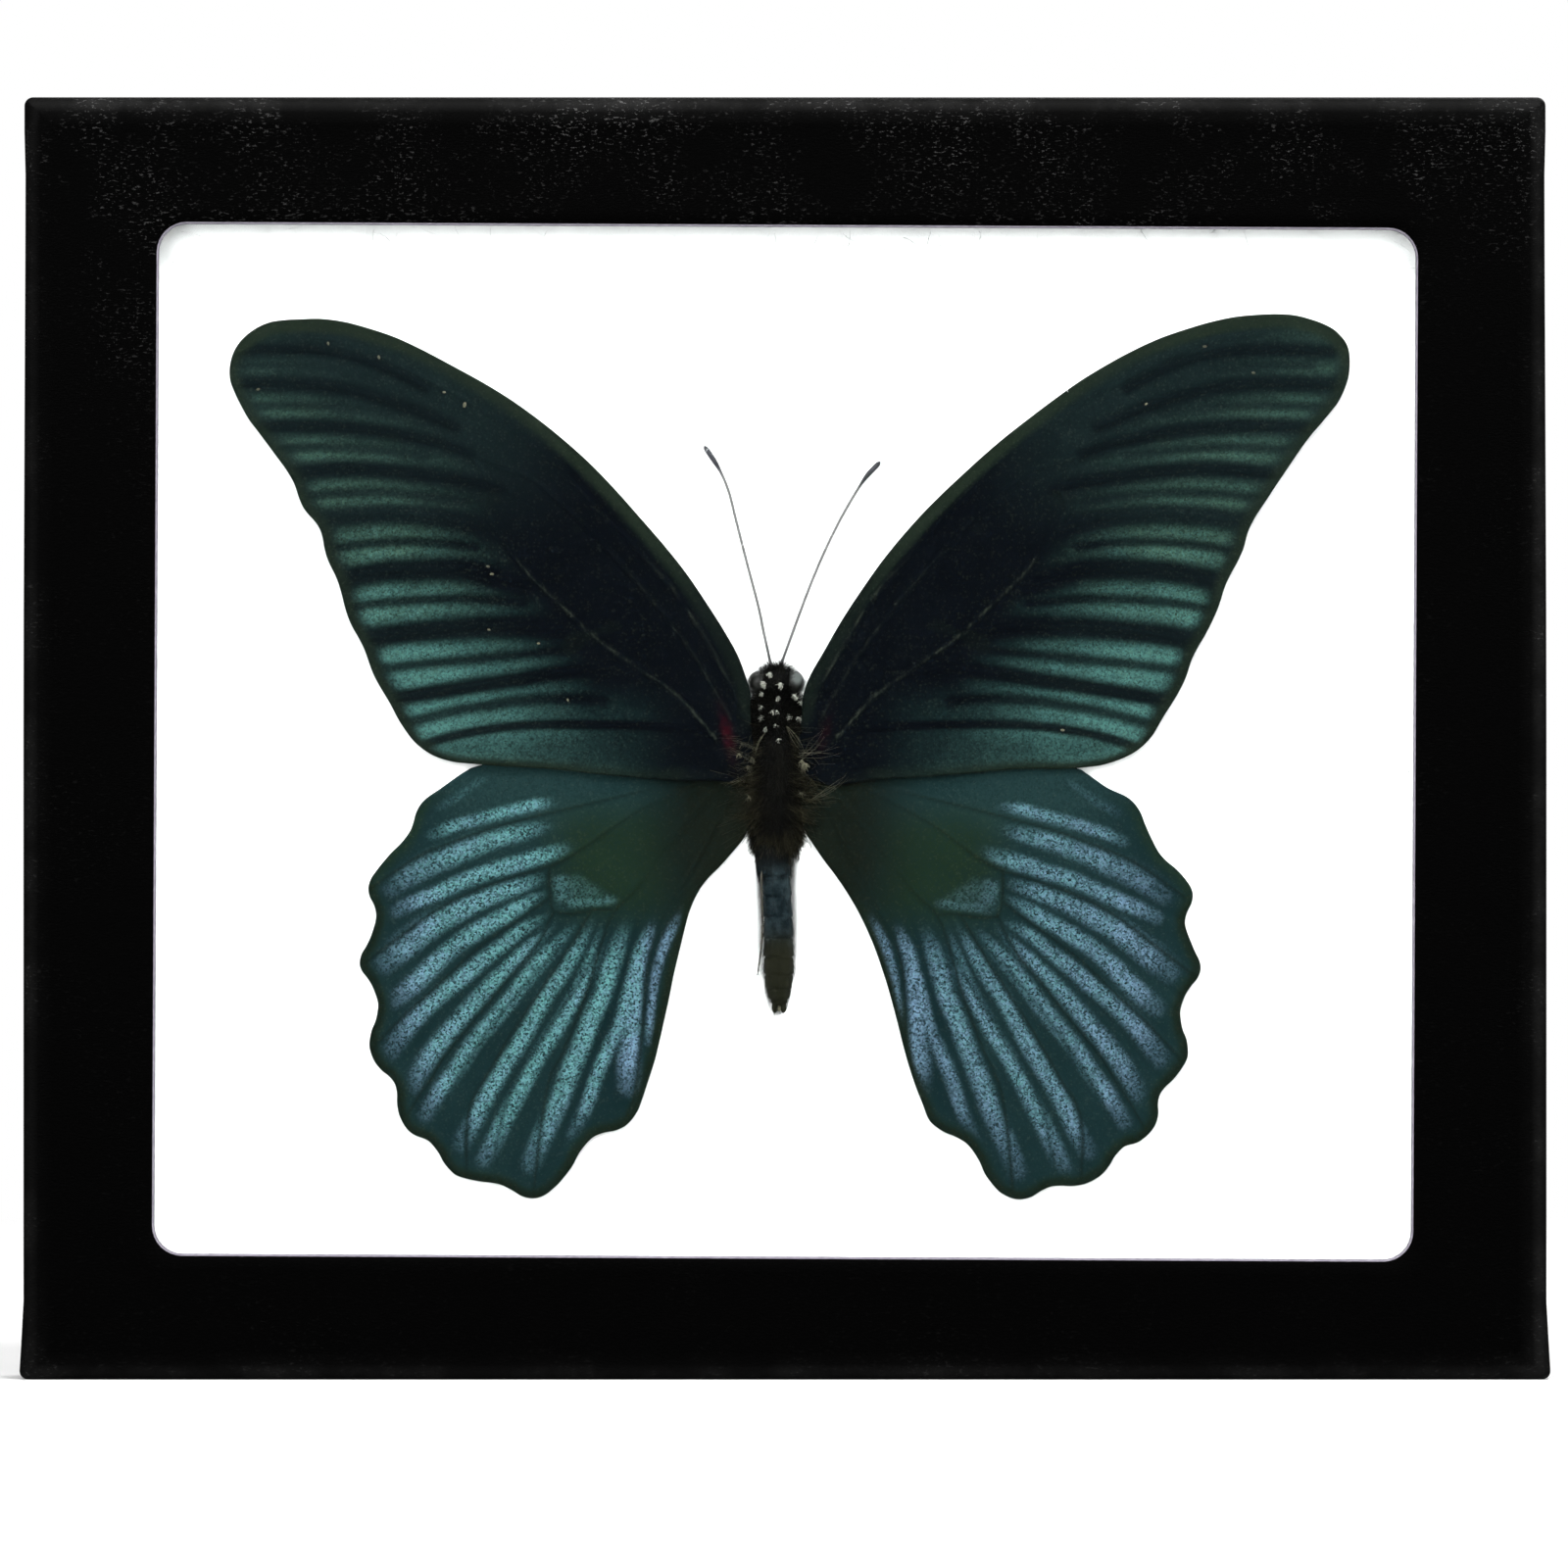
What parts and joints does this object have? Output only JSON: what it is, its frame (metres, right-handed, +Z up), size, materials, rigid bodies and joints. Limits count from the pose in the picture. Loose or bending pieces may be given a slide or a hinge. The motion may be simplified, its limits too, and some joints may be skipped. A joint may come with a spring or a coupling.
{
  "type": "framed butterfly specimen",
  "caption": "Spread dark blue-green butterfly on white batting behind glass in a shallow black paper-covered case, standing on its edge.",
  "frame": {"origin": "middle of the foot of the case, on the surface it stands on", "axes": "+X across the case to the viewer's right, +Y from the glass towards the back, +Z up"},
  "size_m": [0.1562, 0.019, 0.1315],
  "materials": {
    "embossed_paper": "satin",
    "tray_paper": "matte",
    "glass": "polished",
    "batting": "matte",
    "chitin": "satin",
    "antenna": "satin",
    "forewing": "matte",
    "hindwing": "matte"
  },
  "bodies": {
    "root": {"lid": "embossed_paper", "tray": "tray_paper", "glass": "glass", "batting": "batting", "head": "chitin", "thorax": "chitin", "abdomen": "chitin", "antenna_left": "antenna", "antenna_right": "antenna", "hind_leg_left": "chitin", "forewing_left": "forewing", "forewing_right": "forewing", "hindwing_left": "hindwing", "hindwing_right": "hindwing"}
  },
  "joints": []
}
